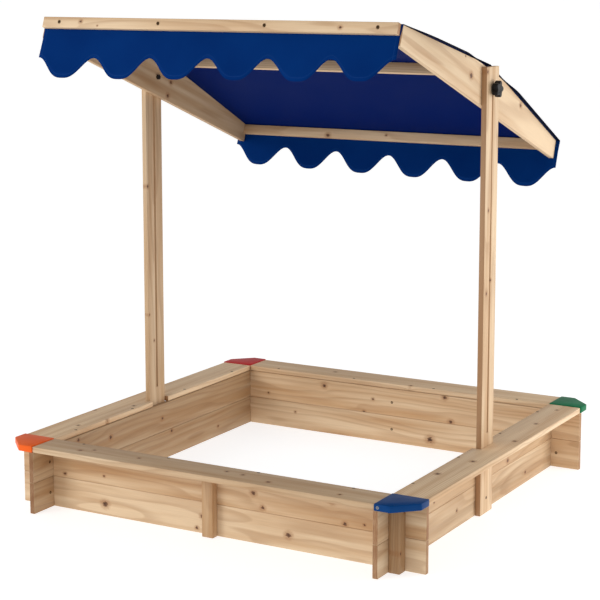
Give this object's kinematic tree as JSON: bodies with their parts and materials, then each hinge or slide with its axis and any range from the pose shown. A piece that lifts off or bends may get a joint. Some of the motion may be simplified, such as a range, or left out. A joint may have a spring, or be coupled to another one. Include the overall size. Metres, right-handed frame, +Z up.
{
  "type": "sandbox with canopy",
  "caption": "Square wooden sandbox with half-lapped plank walls, seat boards, coloured corner caps and a scalloped fabric canopy that slides on slotted posts and tilts.",
  "frame": {"origin": "on the ground, in the middle of the square box", "axes": "+X from the left side to the right side, +Y from the front edge to the back edge, +Z up; the canopy's raised edge is at the front"},
  "size_m": [1.18, 1.18, 1.2738],
  "materials": {
    "pine": "sawn and planed, clear oiled",
    "orange_paint": "satin paint on wood",
    "blue_paint": "satin paint on wood",
    "green_paint": "satin paint on wood",
    "red_paint": "satin paint on wood",
    "navy_cloth": "coated woven polyester, slight sheen",
    "black_plastic": "moulded, fine grain",
    "zinc_steel": "bright zinc plate",
    "dark_screw": "yellow-brown passivated steel",
    "brass": "turned"
  },
  "bodies": {
    "base": {"plank_front_lower": "pine", "plank_front_upper": "pine", "plank_back_lower": "pine", "plank_back_upper": "pine", "plank_left_lower": "pine", "plank_left_upper": "pine", "plank_right_lower": "pine", "plank_right_upper": "pine", "corner_batten_front_left": "pine", "corner_batten_front_right": "pine", "corner_batten_back_right": "pine", "corner_batten_back_left": "pine", "mid_batten_front": "pine", "mid_batten_back": "pine", "seat_front": "pine", "seat_back": "pine", "seat_left": "pine", "seat_right": "pine", "corner_cap_front_left": "orange_paint", "corner_cap_front_right": "blue_paint", "corner_cap_back_right": "green_paint", "corner_cap_back_left": "red_paint", "post_left": "pine", "post_screw_left_lower": "dark_screw", "post_screw_left_upper": "dark_screw", "post_right": "pine", "post_screw_right_lower": "dark_screw", "post_screw_right_upper": "dark_screw"},
    "canopy_carrier": {"pivot_bolt_left": "zinc_steel", "washer_left": "zinc_steel", "pivot_bolt_right": "zinc_steel", "washer_right": "zinc_steel"},
    "canopy": {"rafter_left": "pine", "rafter_right": "pine", "ridge_beam": "pine", "inner_beam_front": "pine", "clamp_strip_front": "pine", "strip_screw_front_1": "dark_screw", "strip_screw_front_2": "dark_screw", "strip_screw_front_3": "dark_screw", "strip_screw_front_4": "dark_screw", "inner_beam_rear": "pine", "clamp_strip_rear": "pine", "strip_screw_rear_1": "dark_screw", "strip_screw_rear_2": "dark_screw", "strip_screw_rear_3": "dark_screw", "strip_screw_rear_4": "dark_screw", "canopy_cover": "navy_cloth"},
    "left_knob": {"knob_left": "black_plastic", "knob_insert_left": "brass"},
    "right_knob": {"knob_right": "black_plastic", "knob_insert_right": "brass"}
  },
  "joints": [
    {"name": "canopy_height", "type": "slide", "parent": "base", "child": "canopy_carrier", "axis": [0, 0, 1], "range_m": [-0.594, 0]},
    {"name": "canopy_tilt", "type": "hinge", "parent": "canopy_carrier", "child": "canopy", "pos_m": [0, 0, 1.0965], "axis": [1, 0, 0], "range_deg": [-5.3, 44.7]},
    {"name": "left_knob_turn", "type": "hinge", "parent": "canopy_carrier", "child": "left_knob", "pos_m": [-0.53, 0, 1.0965], "axis": [1, 0, 0], "continuous": true},
    {"name": "right_knob_turn", "type": "hinge", "parent": "canopy_carrier", "child": "right_knob", "pos_m": [0.53, 0, 1.0965], "axis": [1, 0, 0], "continuous": true}
  ]
}
